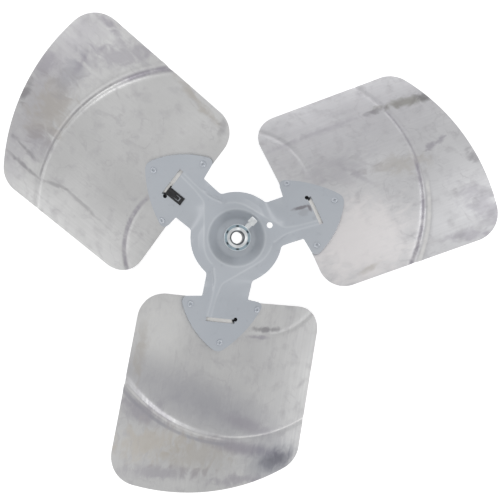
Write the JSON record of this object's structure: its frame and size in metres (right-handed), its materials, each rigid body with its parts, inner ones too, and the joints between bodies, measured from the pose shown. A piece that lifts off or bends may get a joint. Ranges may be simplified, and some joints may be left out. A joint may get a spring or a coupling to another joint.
{
  "type": "axial fan blade",
  "caption": "Propeller fan blade for an outdoor unit or blower: cambered aluminium blades riveted to a pressed steel spider, with a bored hub and a square-head set screw.",
  "frame": {"origin": "on the axis of the bore, level with the front face of the spider's raised ring", "axes": "+Z along the bore towards the hub's open, chamfered end, which is the side with the set screw; +X to the right and +Y up as the blade is seen from that side"},
  "size_m": [0.5452, 0.5093, 0.1303],
  "materials": {
    "grey_paint": "semi-gloss bluish grey paint",
    "zinc_steel": "turned, bright zinc plated",
    "blade_aluminium": "mill finish sheet, brushed and weathered",
    "rivet_steel": "plated, dull",
    "black_spring_steel": "black phosphated"
  },
  "bodies": {
    "root": {"spider": "grey_paint", "hub": "zinc_steel", "set_screw": "zinc_steel", "blade_right": "blade_aluminium", "blade_left": "blade_aluminium", "blade_lower": "blade_aluminium", "rivets": "rivet_steel", "balance_clip": "black_spring_steel"}
  },
  "joints": []
}
